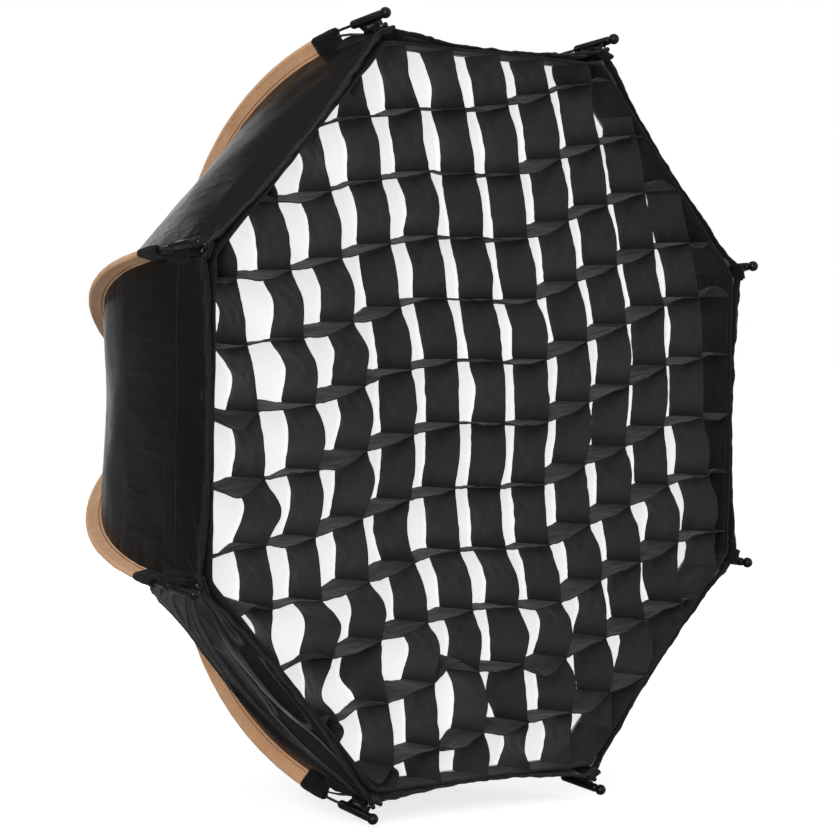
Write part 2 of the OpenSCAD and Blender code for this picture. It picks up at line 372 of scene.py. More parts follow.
class Material:
    """A principled material and its node recipes; lengths in metres."""

    def __init__(self, name, **values):
        self.material = bpy.data.materials.new(name)
        self.material.use_nodes = True
        self.tree = self.material.node_tree
        self.tree.nodes.clear()
        output = self.node("ShaderNodeOutputMaterial")
        self.shader = self.node("ShaderNodeBsdfPrincipled")
        self.tree.links.new(self.shader.outputs[0], output.inputs[0])
        for key, value in values.items():
            self.set(key.replace("_", " "), value)
        coords = self.node("ShaderNodeTexCoord")
        self.uv, self.object = coords.outputs["UV"], coords.outputs["Object"]

    def set(self, key, value):
        set_input(self.tree, self.shader, key, value)

    def node(self, kind, inputs=None, **props):
        return add_node(self.tree, kind, inputs, **props)

    def calc(self, operation, first, second=0.0, third=0.0):
        inputs = {0: first, 1: second, 2: third}
        return self.node("ShaderNodeMath", inputs, operation=operation).outputs[0]

    def add(self, first, second):
        return self.calc("ADD", first, second)

    def times(self, first, second):
        return self.calc("MULTIPLY", first, second)

    def noise(self, scale, detail, roughness=0.55, stretch=None):
        vector = self.object
        if stretch:
            vector = self.node("ShaderNodeMapping", {"Vector": vector, "Scale": stretch}).outputs[0]
        return self.node("ShaderNodeTexNoise", {"Vector": vector, "Scale": scale, "Detail": detail,
                                                "Roughness": roughness}).outputs[0]

    def mottle(self, coarse, fine, dark, light, start=0.3, end=0.7):
        """Colour from two noises."""
        return self.ramp(self.add(self.times(coarse, 0.6), self.times(fine, 0.4)),
                         dark, light, start, end)

    def ramp(self, factor, dark, light, start=0.3, end=0.7):
        ramp = self.node("ShaderNodeValToRGB", {0: factor})
        stops = ramp.color_ramp.elements
        stops[0].position, stops[1].position = start, end
        stops[0].color, stops[1].color = (*dark, 1), (*light, 1)
        return ramp.outputs[0]

    def map_range(self, factor, from_low, from_high, low, high):
        inputs = {0: factor, 1: from_low, 2: from_high, 3: low, 4: high}
        return self.node("ShaderNodeMapRange", inputs).outputs[0]

    def blend(self, factor, first, second):
        inputs = {0: factor, 6: first, 7: second}
        return self.node("ShaderNodeMix", inputs, data_type="RGBA").outputs[2]

    def attribute(self, name):
        return self.node("ShaderNodeAttribute", attribute_name=name).outputs["Fac"]

    def phases(self, *pitches):
        """Phase of a wave along each of the UV map's axes."""
        axes = self.node("ShaderNodeSeparateXYZ", {0: self.uv}).outputs
        return [self.times(axes[k], 2 * math.pi / pitch) for k, pitch in enumerate(pitches)]

    def twill(self, pitch_u, pitch_v):
        return self.calc("SINE", self.add(*self.phases(pitch_u, pitch_v)))

    def weave(self, *pitches):
        waves = [self.calc("SINE", phase) for phase in self.phases(*pitches)]
        return self.times(*waves) if len(waves) > 1 else waves[0]

    def bump(self, height, distance, strength, normal=None):
        inputs = {"Height": height, "Distance": distance, "Strength": strength}
        if normal is not None:
            inputs["Normal"] = normal
        return self.node("ShaderNodeBump", inputs).outputs[0]

    def done(self, color, rough, normal=None):
        """rough is one value, or a noise with its two values."""
        if isinstance(rough, tuple):
            rough = self.map_range(rough[0], 0.25, 0.75, rough[1], rough[2])
        self.set("Base Color", color)
        self.set("Roughness", rough)
        if normal is not None:
            self.set("Normal", normal)
        return self.material


def black_cloth(name, dark, light, rough, weave, specular, sheen=0.0, blotch=7.0, depth=0.00006,
                kind="plain", crinkle=0.0, shade=False, crest_highlight=None):
    """weave is the thread pitch, depth the bump of the weave, blotch the scale of the mottle."""
    mat = Material(name, Specular_IOR_Level=specular, Sheen_Weight=sheen, Sheen_Roughness=0.45)
    color = mat.mottle(mat.noise(blotch, 3), mat.noise(420, 2), dark, light)
    if shade:      # painted shade: the colour darkens beside the crossings, where the crossing strips shade each other
        crossing_shade_color = tuple(x * 0.42 for x in dark)
        color = mat.blend(mat.attribute("shade"), crossing_shade_color, color)
    if crest_highlight:      # painted highlight: thin ridges of the folds are lightened, standing in for the coated cloth catching the light
        color = mat.blend(mat.attribute("crest_highlight"), color, crest_highlight)
    if kind == "twill":
        threads = mat.twill(weave, weave * 1.35)
    elif kind == "rib":
        fine = mat.times(mat.weave(weave * 0.5, weave * 1.1), 0.35)
        threads = mat.add(mat.weave(weave), fine)
    else:
        threads = mat.weave(weave, weave)
    height = mat.add(mat.times(threads, 0.5), mat.times(mat.noise(900, 2), 0.9))
    normal = mat.bump(height, depth, 0.8)
    if crinkle:
        normal = mat.bump(mat.noise(55, 5, 0.62), crinkle, 0.6, normal)
    return mat.done(color, (mat.noise(30, 4), *rough), normal)


def tan_twill():
    mat = Material("tan_sleeve_twill", Specular_IOR_Level=0.2, Sheen_Weight=0.25,
                   Sheen_Roughness=0.5, Sheen_Tint=(1.0, 0.85, 0.7))
    color = mat.mottle(mat.noise(16, 4), mat.noise(330, 2, stretch=(1, 1, 1)),
                       dark=(0.76, 0.395, 0.202), light=(1.0, 0.592, 0.335), start=0.34, end=0.68)
    height = mat.add(mat.times(mat.twill(0.0011, 0.0014), 0.5), mat.noise(800, 2))
    weave = mat.bump(height, distance=0.00012, strength=0.8)
    normal = mat.bump(mat.noise(70, 4), distance=0.0006, strength=0.6, normal=weave)
    return mat.done(color, (mat.noise(40, 3), 0.62, 0.85), normal)


def tan_thread():
    mat = Material("tan_thread", Specular_IOR_Level=0.3)
    color = mat.ramp(mat.noise(500, 2), dark=(0.15, 0.062, 0.028), light=(0.27, 0.12, 0.055))
    return mat.done(color, 0.55, mat.bump(mat.noise(2500, 1), distance=0.00008, strength=0.7))


def silver_lining():
    mat = Material("silver_lining", Metallic=0.85)
    color = mat.ramp(mat.noise(40, 5), dark=(0.42, 0.42, 0.43), light=(0.66, 0.66, 0.67))
    height = mat.add(mat.weave(0.0012, 0.0012), mat.times(mat.noise(220, 4), 2.2))
    normal = mat.bump(height, distance=0.00025, strength=0.8)
    return mat.done(color, (mat.noise(90, 3), 0.32, 0.5), normal)


def diffusion_cloth():
    # painted light: the diffuser glows by emission, though no lamp shines through it, so it reads
    # bright white behind the grid
    mat = Material("white_diffusion_cloth", Specular_IOR_Level=0.15, Emission_Strength=0.72)
    color = mat.ramp(mat.noise(9, 4), dark=(0.80, 0.80, 0.805), light=(0.90, 0.90, 0.90))
    glow = mat.ramp(mat.noise(5, 3), dark=(0.93, 0.93, 0.935), light=(1.0, 1.0, 1.0))
    mat.set("Emission Color", glow)
    height = mat.add(mat.weave(0.0008, 0.0008), mat.times(mat.noise(60, 4), 1.5))
    return mat.done(color, 0.75, mat.bump(height, distance=0.00012, strength=0.6))


def hard(name, dark, light, rough, specular=0.4, bevel=0.0007, grain=1400, depth=0.00003,
         metallic=0.0, stretch=None):
    """Plastic or metal with paler worn edges; grain is the scale of its fine bump."""
    mat = Material(name, Specular_IOR_Level=specular, Metallic=metallic)
    color = mat.mottle(mat.noise(30, 4), mat.noise(600, 2), dark, light)
    pointiness = mat.node("ShaderNodeNewGeometry").outputs["Pointiness"]
    worn = mat.map_range(pointiness, 0.52, 0.60, 0.0, 0.35)
    color = mat.blend(worn, color, tuple(min(1, 2.2 * x + 0.01) for x in light))
    height = mat.noise(grain, 3 if stretch else 2, stretch=stretch)
    rounded = mat.node("ShaderNodeBevel", {"Radius": bevel}, samples=4).outputs[0]
    return mat.done(color, (mat.noise(70, 4), *rough), mat.bump(height, depth, 0.8, rounded))


# the shell's colour is lightened along the fold ridges of gore 5 as a painted highlight
SHELL = black_cloth("shell_black_nylon", dark=(0.0074, 0.0060, 0.0054),
                    light=(0.0115, 0.0094, 0.0085), rough=(0.35, 0.46), weave=0.0007,
                    specular=0.14, depth=0.000016, crinkle=0.00018, crest_highlight=(0.30, 0.29, 0.285))
HEM = black_cloth("hem_binding_black", dark=(0.008, 0.0077, 0.0074),
                  light=(0.018, 0.0174, 0.0168), rough=(0.6, 0.8), weave=0.0013,
                  specular=0.18, sheen=0.08, kind="twill", depth=0.00016)
# the grid's colour is darkened beside the crossings as painted shade
GRID = black_cloth("grid_black_nylon", dark=(0.028, 0.0277, 0.0277),
                   light=(0.044, 0.0435, 0.0435), rough=(0.66, 0.8), weave=0.00062,
                   specular=0.12, sheen=0.10, depth=0.00005, shade=True)
TWILL = black_cloth("band_loop_twill", dark=(0.0022, 0.0022, 0.0022),
                    light=(0.0125, 0.0125, 0.0125), rough=(0.7, 0.9), weave=0.0017,
                    specular=0.2, sheen=0.12, blotch=240.0, kind="twill", depth=0.00035)
KNIT = black_cloth("cuff_ribbed_web", dark=(0.0022, 0.0021, 0.0021),
                   light=(0.0065, 0.006, 0.006), rough=(0.38, 0.6), weave=0.0009,
                   specular=0.3, sheen=0.05, depth=0.00012)
WEB = black_cloth("black_webbing", dark=(0.004, 0.004, 0.004), light=(0.009, 0.0087, 0.0084),
                  rough=(0.55, 0.75), weave=0.0016, specular=0.18, sheen=0.05, kind="rib",
                  depth=0.0002)
THREAD = black_cloth("black_thread", dark=(0.012, 0.0115, 0.011), light=(0.03, 0.028, 0.027),
                     rough=(0.45, 0.6), weave=0.0005, specular=0.3, sheen=0.1)
TAN, TAN_THREAD, SILVER, DIFFUSER = tan_twill(), tan_thread(), silver_lining(), diffusion_cloth()
CAP = hard("cap_black_plastic", dark=(0.003, 0.003, 0.0031), light=(0.0065, 0.0065, 0.0067),
           rough=(0.24, 0.38), specular=0.30, bevel=0.0004)
BRUSHED = dict(metallic=1.0, specular=0.5, grain=260, depth=0.00002, stretch=(1, 12, 1))
ROD = hard("spring_steel_rod", dark=(0.045, 0.045, 0.047), light=(0.085, 0.085, 0.088),
           rough=(0.14, 0.26), bevel=0.0002, **BRUSHED)
HUB = hard("hub_black_nylon", dark=(0.010, 0.010, 0.011), light=(0.018, 0.018, 0.019),
           rough=(0.42, 0.6), bevel=0.0008)
MOUNT = hard("mount_anodised", dark=(0.012, 0.012, 0.013), light=(0.03, 0.03, 0.031),
             rough=(0.28, 0.42), specular=0.6, bevel=0.0006, metallic=0.6, grain=500,
             depth=0.00002)
ACETAL = hard("bearing_acetal", dark=(0.62, 0.60, 0.54), light=(0.74, 0.72, 0.66),
              rough=(0.35, 0.5), bevel=0.0002)
STEEL = hard("bright_steel", dark=(0.45, 0.45, 0.46), light=(0.62, 0.62, 0.63),
             rough=(0.18, 0.34), bevel=0.0003, **BRUSHED)

for material, names in (
        (MOUNT, ["mount_insert", "retaining_ring"]),
        (ACETAL, ["glide_washer"]),
        (HUB, ["hub_ring", "hub_cover"] + [f"socket_{k}" for k in SIDES]),
        (STEEL, ["cover_screws", "hinge_pins", "rib_catches"]),
        (ROD, [f"rod_{k}" for k in SIDES])):
    for name in names:
        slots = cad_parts[name].data.materials
        slots.clear()
        slots.append(material)

# ---------------------------------------------------------------- shell: sixteen half gores
# A gore spans rib g to rib g + 1. Its cloth is a function of across, -1..1 from rib to rib, and
# back, the way in mm from the front edge towards the hub.
RIM = (325.0, FRONT - 0.5)                          # radius and z of the ribs at the front edge
PROFILE = np.array([RIM] + [on_bend(DROP, angle) for angle in np.linspace(11.2, 63.2, 80)])
PROFILE_TRAVEL = travel(PROFILE)
PROFILE_LENGTH = PROFILE_TRAVEL[-1]
CRINKLE = {1: 0.5, 2: 0.45, 3: 0.4, 4: 0.25, 5: 0.35, 6: 0.5, 7: 0.6, 8: 0.5}    # depth per gore
SAG = {1: 2.0, 2: 2.5, 3: 1.0, 4: 2.0, 5: 3.0, 6: 3.5, 7: 2.5, 8: 2.5}
SLACK = {5: (1.0, 7), 6: (0.5, 4)}                  # gore: strength and sharpness of its folds
# folds: wavelength, drift across, height, seed, strength of the painted highlight on the crest,
# line value where the crest's painted highlight starts
FOLDS = ((30.0, 1.1, 2.6, 140, 1.0, 0.905), (16.0, 1.6, 1.3, 150, 0.45, 0.86))
CLOTH = 0.8                                         # thickness
# piping: way back, half width, half thickness, lumpiness
PIPING = ((3.3, 3.7, 1.0, 0.16), (PROFILE_LENGTH - 2.2, 2.6, 1.9, 0.15))
SEAMS = ((8.9, 3.6), (42.0, 3.3))                   # way back, stitch length
# the pleats' fitted turn: its direction, and its start and end along it, from the rim's corner
PLEAT_DIRECTION = np.array([-0.963, 1.0, 0.554])
PLEAT_ENDS = (-23.946, 183.328)
ROWS, COLUMNS = ((230, 58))


def profile(back):
    """Radius and z of the cloth at the ribs, carried on a little past the front edge."""
    back = np.asarray(back, float)
    radius, z = (np.interp(back, PROFILE_TRAVEL, PROFILE[:, k]) for k in (0, 1))
    past = np.where(back < 0, back, 0)
    return radius - past * 0.2, z - past * 0.98


def half_chord(back):
    return np.interp(back, PROFILE_TRAVEL, PROFILE[:, 0]) * SH


def fold_course(across, back):
    """Spread of the corner-to-corner folds, and the way back measured in that spread."""
    middle = 1 - across * across
    spread = 0.20 + 0.80 * (middle + 0.25 * middle * across)
    return spread, (back + 2.0) / spread


def fold_line(gore, across, course, wavelength, drift, seed):
    return 1 - np.abs(noise(course / wavelength + 0.35 * across, across * drift + 0.5 * gore,
                            seed + gore))


def cloth_point(gore, across, back):
    """The outer cloth, in metres."""
    across, back = np.broadcast_arrays(np.asarray(across, float), np.asarray(back, float))
    radius, z = profile(back)
    x, y = radius * CH, radius * SH * across
    # outward direction in the gore's middle plane, turned square to the axis at the front
    ahead, behind = profile(back - 1.5), profile(back + 1.5)
    slope_x, slope_z = (behind[0] - ahead[0]) * CH, behind[1] - ahead[1]
    slope = np.hypot(slope_x, slope_z)
    front = smooth(back / 40.0)
    out_x, out_z = -slope_z / slope * front + (1 - front), slope_x / slope * front
    width = radius * SH
    edge = (1 - np.abs(across)) * width             # distance to the rib
    side = across * width
    hold = smooth(edge / 16.0)
    sag = -(8.3 * (1 - smooth(back / 46.0)) + SAG[gore] * smooth((back - 55.0) / 120.0)
            * (1 - smooth((back - 300.0) / 140.0))) * (1 - across * across)
    wave = 1.3 * layered(across * 1.6 + gore, back / 95.0, 3 + gore, 2) * hold * smooth(back / 25.0)
    # tension folds that fan out from the two front corners and from the hub end
    left = PROFILE_LENGTH - back
    for sign in (-1, 1):
        aside = (1 - sign * across) * width
        fan = np.arctan2(back + 6, aside + 4)
        reach = np.hypot(back, aside)
        wave = wave + (0.9 * np.sin(fan * 13 + 2.1 * gore + sign) * np.exp(-reach / 75.0)
                       * smooth(reach / 22.0) * hold)
        fan = np.arctan2(left + 5, aside + 3)
        wave = wave + 0.6 * np.sin(fan * 9 + gore) * np.exp(-np.hypot(left, aside) / 60.0) * hold
    # puckers along the rib seams
    wave = wave + (0.55 * noise(back / 11.0, np.sign(across) * 3 + gore, 31)
                   * np.exp(-edge / 16.0) * smooth(edge / 3.0))
    # fine crinkles, drawn out along the cloth
    crinkle = CRINKLE[gore]
    ridge = 1 - np.abs(layered(side / 15.0 + 0.25 * back / 60.0, back / 105.0, 40 + gore, 3))
    wave = wave + (crinkle * (ridge ** 4 - 0.45) * hold * smooth(back / 14.0)
                   * (0.65 + 0.5 * noise(across * 2, back / 60.0, 50 + gore)))
    ridge = 1 - np.abs(layered(side / 7.0 - back / 70.0, back / 46.0, 60 + gore, 2))
    wave = wave + 0.33 * crinkle * (ridge ** 5 - 0.3) * hold * smooth(back / 10.0)
    # the slack gores hang in fine folds that run from corner to corner and gather at both
    if gore in SLACK:
        strength, power = SLACK[gore]
        spread, course = fold_course(across, back)
        for wavelength, drift, height, seed, *_ in FOLDS:
            line = fold_line(gore, across, course, wavelength, drift, seed)
            wave = wave + (strength * height * spread * (line ** power - 0.25) * hold
                           * smooth(back / 9.0) * (1 - smooth((course - 210.0) / 190.0)))
    # lumpy hem, its stitch line and the seam 42 mm behind the rim
    lumps = (0.75 * noise(side / 12.0, back / 10.0, 70 + gore)
             + 0.5 * noise(side / 4.5, back / 7.0, 75 + gore))
    wave = wave + lumps * bell(back, 0, 13.0) * smooth(edge / 8.0)
    wave = np.where(back < 60, np.maximum(wave, -0.9), wave)
    wave = wave - 0.3 * bell(back, 42.0, 2.2) * hold - 0.35 * bell(back, 9.0, 1.2) * hold
    wave = wave + 0.4 * bell(back, 37.0, 3.5) * noise(side / 9.0, gore, 80) * hold
    depth = sag + wave
    z = (z + out_z * depth
         + 0.5 * noise(side / 18.0, gore, 90) * bell(back, 0, 8.0) * smooth(edge / 8.0))
    return at_angle(45.0 * gore, x + out_x * depth, y, np.minimum(z, FRONT - 0.2))


def cloth_normal(gore, across, back, step=0.9):
    """Unit normals pointing away from the axis."""
    turn = step / 120.0
    du = cloth_point(gore, across + turn, back) - cloth_point(gore, across - turn, back)
    dv = cloth_point(gore, across, back + step) - cloth_point(gore, across, back - step)
    normals = unit(np.cross(dv, du))
    radial = cloth_point(gore, across, back)
    radial[..., 1] = 0
    sign = np.sign((normals * radial).sum(-1, keepdims=True))
    return normals * np.where(sign == 0, 1, sign)


def crest_highlight(gore, across, back):
    """Mask of the painted highlight: 0..1 along the ridges of the corner-to-corner folds."""
    edge = (1 - np.abs(across)) * half_chord(back)
    _, course = fold_course(across, back)
    ridges = np.zeros(across.shape)
    for wavelength, drift, _, seed, strength, start in FOLDS:
        line = fold_line(gore, across, course, wavelength, drift, seed)
        ridges = np.maximum(ridges, strength * smooth((line - start) / (0.99 - start)) ** 1.5)
    ridges = ridges * (0.55 + 0.45 * noise(across * 3.0, back / 22.0, 170 + gore))
    fade = smooth(edge / 5.0) * smooth((back - 6) / 6.0) * (1 - smooth((back - 55.0) / 45.0))
    return np.clip(ridges * fade, 0, 1)


def pleat_points(rib, side):
    """Start and end of the bend between a rib and a half panel."""
    points = []
    for along in PLEAT_ENDS:
        step = PLEAT_DIRECTION * along / (PLEAT_DIRECTION @ PLEAT_DIRECTION)
        y = -step[1] if side == "b" else step[1]
        points.append(tuple(at_angle(rib_angle(rib), RIM[0] + step[0], y, RIM[1] + step[2])))
    return points


def add_piping(mesh, gore, edge, back, half_width, half_thick, lump):
    """A lumpy flattened roll along one end of the cloth."""
    across = np.linspace(edge, 0.0, 44)
    centre, normal = cloth_point(gore, across, back), cloth_normal(gore, across, back, 3.0)
    along = unit(cloth_point(gore, across, back + 2) - cloth_point(gore, across, back - 2))
    angle = np.arange(16) * 2 * math.pi / 16
    wide, thick = (np.sign(part) * np.abs(part) ** 0.8 for part in (np.cos(angle), np.sin(angle)))
    reached = (across * 122)[:, None]
    bulge = 1 + lump * noise(reached / 5.5, np.abs(np.arange(16) - 8)[None] / 3.0, 100 + gore)
    rings = centre[:, None] + (along[:, None] * wide[None, :, None] * half_width
                               + normal[:, None] * thick[None, :, None] * half_thick
                               ) * MM * bulge[..., None]
    if back < 10:      # the front roll stays behind a plane just ahead of the front
        rings[..., 1] = np.maximum(rings[..., 1], -(FRONT + 0.6) * MM)
    loft(mesh, rings, 2, uv_map(reached, np.arange(16)[None] * 0.9))


def make_half_gore(gore, side):
    """Half a gore, from just short of its rib's plane to the crease in the middle."""
    sign = -1 if side == "a" else 1
    fine = gore == 5                                # finer where the fine folds are
    rows = ROWS * 2 if fine else ROWS
    stations = np.concatenate([np.linspace(0, 60, rows // 3),
                               np.linspace(60, PROFILE_LENGTH, rows - rows // 3 + 1)[1:]])
    columns = sign * (1 - np.linspace(0.0022, 1.0, COLUMNS * 3 // 2 if fine else COLUMNS))
    columns[-1] = 0.0
    across, back = np.meshgrid(columns, stations, indexing="ij")
    points, normals = cloth_point(gore, across, back), cloth_normal(gore, across, back)
    uv = uv_map(across * half_chord(back), back)
    facing = np.cross(np.gradient(points, axis=0), np.gradient(points, axis=1))
    if (facing * normals).sum() < 0:
        points, normals, uv, back, across = (
            grid[::-1] for grid in (points, normals, uv, back, across))
    mesh = Mesh()
    sheet(mesh, points, CLOTH * MM, uv, (0, 1, 2), normals)
    for piping in PIPING:
        add_piping(mesh, gore, columns[0], *piping)
    for seam, step in SEAMS:
        count = int(half_chord(seam) / step)
        places = np.linspace(sign * 0.985, sign * 0.006, count + 1)
        normals = cloth_normal(gore, places, seam, 2.0)
        lifted = cloth_point(gore, places, seam) + normals * (CLOTH / 2 + 0.12) * MM
        stitches(mesh, lifted, normals, slot=3)
    obj = mesh.make(f"shell_cloth_{gore}_{side}", [SHELL, SILVER, HEM, THREAD])
    # mask of the painted highlight along the fold ridges, stored on the points
    if fine:
        ridges = crest_highlight(gore, across, back).ravel()
        values = np.zeros(len(obj.data.vertices), np.float32)
        values[:2 * ridges.size] = np.concatenate([ridges, ridges])
        obj.data.attributes.new("crest_highlight", "FLOAT", "POINT").data.foreach_set("value", values)
    rib = gore if side == "a" else gore % 8 + 1
    start, end = pleat_points(rib, side)
    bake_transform(obj)
    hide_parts(f"panel_{gore}_{side}")


for gore in SIDES:
    for side in "ab":
        make_half_gore(gore, side)

# ---------------------------------------------------------------- ribs: sleeve, cuff, cap, webbing
SLEEVE_SPAN, CUFF_SPAN = (15.75, 58.7), (12.1, 16.05)      # angles on the bend

# the cap's turned body: run ahead along its axis, radius
CAP_PROFILE = [
    (6.9, 1.35), (6.85, 2.0), (7.0, 2.6), (7.5, 3.1), (8.3, 3.4), (9.4, 3.5), (16.0, 3.5),
    (16.25, 3.4), (16.5, 3.5), (30, 3.5), (41.8, 3.5), (42.8, 3.4), (43.5, 3.1), (43.9, 2.75),
    (44.3, 2.55), (45.0, 2.55), (45.3, 2.7)]
BALL_CENTRE, BALL_RADIUS = 48.2, 4.45
BALL_ANGLES = (44, 52, 62, 74, 86, 98, 110, 122, 134, 146, 157, 167, 175)

# the bracket's bars: run and outward place of start and end, width, height, corner radius
BRACKET = (
    (15.2, -2.2, 21.6, -9.9, 4.4, 2.0, 0.6),        # raking leg
    (17.4, -2.2, 23.0, -8.6, 2.6, 1.1, 0.4),        # rib on the leg
    (18.6, -4.0, 37.5, -4.0, 1.6, 2.6, 0.4),        # web along the cap
    (20.6, -6.0, 37.0, -5.8, 3.2, 1.0, 0.4),        # lower rail of the web
    (37.6, -2.2, 37.9, -10.6, 4.4, 2.6, 0.7),       # upright
    (34.4, -2.6, 34.6, -7.4, 3.0, 1.3, 0.4),        # lesser upright
    (21.0, -9.9, 38.6, -10.4, 4.4, 1.8, 0.6))       # foot
NOSE_BAR = (38.0, -7.6, 41.6, -8.4, 2.0, 2.0, 0.7)

# ridge line of the corner webbing: run, outward place
TENT_TOP = np.array([
    (-15, -8.6), (-10, -7.6), (-4, -7.2), (2, -7.6), (8, -8.4), (14, -8.9), (20, -8.9),
    (30, -9.1), (38, -9.6), (41, -10.2), (43.5, -11.2)])
TENT_SLOPE = ((0.0, 0.0), (1.2, -0.10), (2.1, -0.75), (2.7, -1.7), (3.9, -2.7))  # from the ridge
TENT_HEM = ((5.6, -12.6), (7.4, -13.6), (7.2, -14.3), (4.0, -13.2), (1.5, -12.3))
# straps: points (run, outward), width, thickness, seed, slot
STRAPS = (
    (((-17.0, -3.9), (-12.0, -4.1), (-7.0, -4.7), (-1.5, -5.7), (4.5, -7.2), (10.0, -8.8),
      (15.0, -9.6)), 5.2, 0.9, 270, 1),             # ribbon from the cuff down to the seam
    (((22.6, -9.6), (24.0, -7.7), (29.0, -7.2), (34.4, -7.6), (36.2, -9.6), (34.8, -12.4),
      (29.0, -12.9), (24.2, -12.2), (22.9, -10.4)), 12.4, 1.9, 275, 0),   # loop round the foot
    (((36.0, -12.0), (40.5, -12.2), (44.6, -11.6), (45.2, -13.4), (42.0, -14.6),
      (37.0, -14.4)), 13.0, 1.5, 280, 1))           # fold ahead of the foot


def rib_line(rib, angles):
    """Points on the rod's centre line, with outward and tangential directions."""
    radius, z = on_bend(CORE, angles)
    angle, bend = rib_angle(rib), np.radians(angles)
    points = at_angle(angle, radius, 0, z)
    outward = at_angle(angle, np.cos(bend), 0, -np.sin(bend)) / MM
    return points, outward, at_angle(angle, 0 * bend, 1, 0) / MM


def rib_travel(angles):
    return (BEND - CORE) * np.radians(angles - angles[0])


def wrap_outline(radius, flange, width, seam):
    """Outline (outward, tangential) of cloth wrapped round the rod, its two sides meeting at a
    seam in a flat flange."""
    arc = [(radius * math.cos(math.radians(angle)), radius * math.sin(math.radians(angle)))
           for angle in np.linspace(100, -100, 21)]
    x, y = arc[-1]
    half = width / 2
    side = [(x + (-seam - x) * part, y + (-half - y) * (part + 0.1 * math.sin(math.pi * part)))
            for part in (0.1, 0.25, 0.42, 0.6, 0.78, 0.92)]
    side += [(-seam - 0.1, -half * 0.86), (-seam - 0.5, -half),
             (-(seam + flange) / 2 - 0.3, -half), (-flange + 0.4, -half * 0.98),
             (-flange + 0.1, -half * 0.8)]
    tip = [(-flange, -width * 0.2), (-flange, width * 0.2)]
    return np.array(arc + side + tip + [(x, -y) for x, y in side[::-1]])


class CapFrame:
    """Frame of a rib's tip: run ahead along the cap, outward, and sideways."""

    def __init__(self, rib):
        radius, z = on_bend(CORE, LEAN)
        angle, lean = rib_angle(rib), math.radians(LEAN)
        self.origin = at_angle(angle, radius, 0, z)
        self.axis = at_angle(angle, math.sin(lean), 0, math.cos(lean)) / MM
        self.outward = at_angle(angle, math.cos(lean), 0, -math.sin(lean)) / MM
        self.sideways = at_angle(angle, 0, 1, 0) / MM

    def at(self, run, out, side=0.0):
        run, out, side = (np.asarray(part, float)[..., None] for part in (run, out, side))
        return self.origin + (self.axis * run + self.outward * out + self.sideways * side) * MM


def make_sleeve(rib):
    """Tan twill sleeve with a stitched flange."""
    angles = np.linspace(*SLEEVE_SPAN, 190)
    points, outward, tangent = rib_line(rib, angles)
    outline = wrap_outline(radius=2.55, flange=11.4, width=1.9, seam=8.6)
    reached = rib_travel(angles)
    along, order = reached[:, None], np.arange(len(outline))[None]
    pucker = (1 + 0.05 * noise(along / 9.0, order / 6.0, 200 + rib)
              + 0.02 * noise(along / 3.0, order / 3.0, 210 + rib))
    x, y = outline[None, :, 0], outline[None, :, 1]
    out = (x * np.where(x > -1, pucker, 1.0)
           + np.where(x < -9, 0.28 * noise(along / 6.0, 0, 215 + rib), 0))
    side = y * pucker + 0.35 * noise(along / 34.0, 0.5, 220 + rib) * smooth((-x - 2) / 7.0)
    rings = points[:, None] + (outward[:, None] * out[..., None]
                               + tangent[:, None] * side[..., None]) * MM
    mesh = Mesh()
    loft(mesh, rings, 0, uv_map(along, travel(outline)[None]))
    places = np.linspace(16.25, 58.5, 104)
    points, outward, tangent = rib_line(rib, places)
    sway = 0.35 * noise(places * 7.8 / 34.0, 0.5, 220 + rib) * 0.95      # 7.8 mm to a degree
    for sign in (-1, 1):
        seam = points + (outward * -8.7 + tangent * (sign + sway)[:, None]) * MM
        stitches(mesh, seam, tangent * sign, slot=1, radius=0.3, gap=0.3)
    obj = mesh.make(f"sleeve_tape_{rib}", [TAN, TAN_THREAD])
    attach(obj, f"rib_{rib}")
    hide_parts(f"sleeve_{rib}")


def make_cuff(rib):
    """Webbing cuff at the front of the sleeve, with ribs pressed along it."""
    angles = np.linspace(*CUFF_SPAN, 40)
    points, outward, tangent = rib_line(rib, angles)
    outline, around, length = resample(
        wrap_outline(radius=3.25, flange=12.4, width=3.2, seam=10.5), 190)
    step = unit(np.roll(outline, -1, 0) - np.roll(outline, 1, 0))
    normal = np.stack([step[:, 1], -step[:, 0]], -1)
    if (normal * outline)[:30].sum() < 0:
        normal = -normal
    ribs = round(length / 1.95)
    ridge = 0.85 * np.abs(np.sin(math.pi * ribs * around / length)) ** 0.7 - 0.45
    along = rib_travel(angles)[:, None]
    part = along / along[-1]
    ends = -0.9 * (np.exp(-part / 0.03) + np.exp(-(1 - part) / 0.03))
    wobble = (0.30 * noise(along / 7.0, around[None] / 6.0, 230 + rib)
              + 0.12 * noise(along / 1.6, around[None] / 1.2, 235 + rib))
    raised = outline[None] + normal[None] * (ridge[None] + wobble + ends)[..., None]
    slant = 0.9 * noise(0, around / 5.0, 240 + rib)       # the cut ends aren't quite straight
    shift = slant[None] * (1 - 2 * part)
    rings = points[:, None] + (outward[:, None] * raised[..., :1] + tangent[:, None]
                               * raised[..., 1:]
                               + directions(points)[:, None] * shift[..., None]) * MM
    mesh = Mesh()
    loft(mesh, rings, 0, uv_map(around[None], along))
    for sign in (-1, 1):                                  # bar tacks
        for angle in (12.55, 15.6):
            points, outward, tangent = rib_line(rib, np.full(6, angle))
            out = np.linspace(-11.2, -4.6, 6)[:, None]
            tack = points + (outward * out + tangent * (sign * 2.3)) * MM
            stitches(mesh, tack, tangent * sign, slot=1, radius=0.3, gap=0.2)
    obj = mesh.make(f"cuff_webbing_{rib}", [KNIT, THREAD])
    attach(obj, f"rib_{rib}")


def add_bar(mesh, cap, run_start, out_start, run_end, out_end, width, height, radius):
    part = np.linspace(0, 1, 12)
    path = cap.at(run_start + (run_end - run_start) * part,
                  out_start + (out_end - out_start) * part)
    tube(mesh, path, cap.sideways, round_rect(width, height, radius))


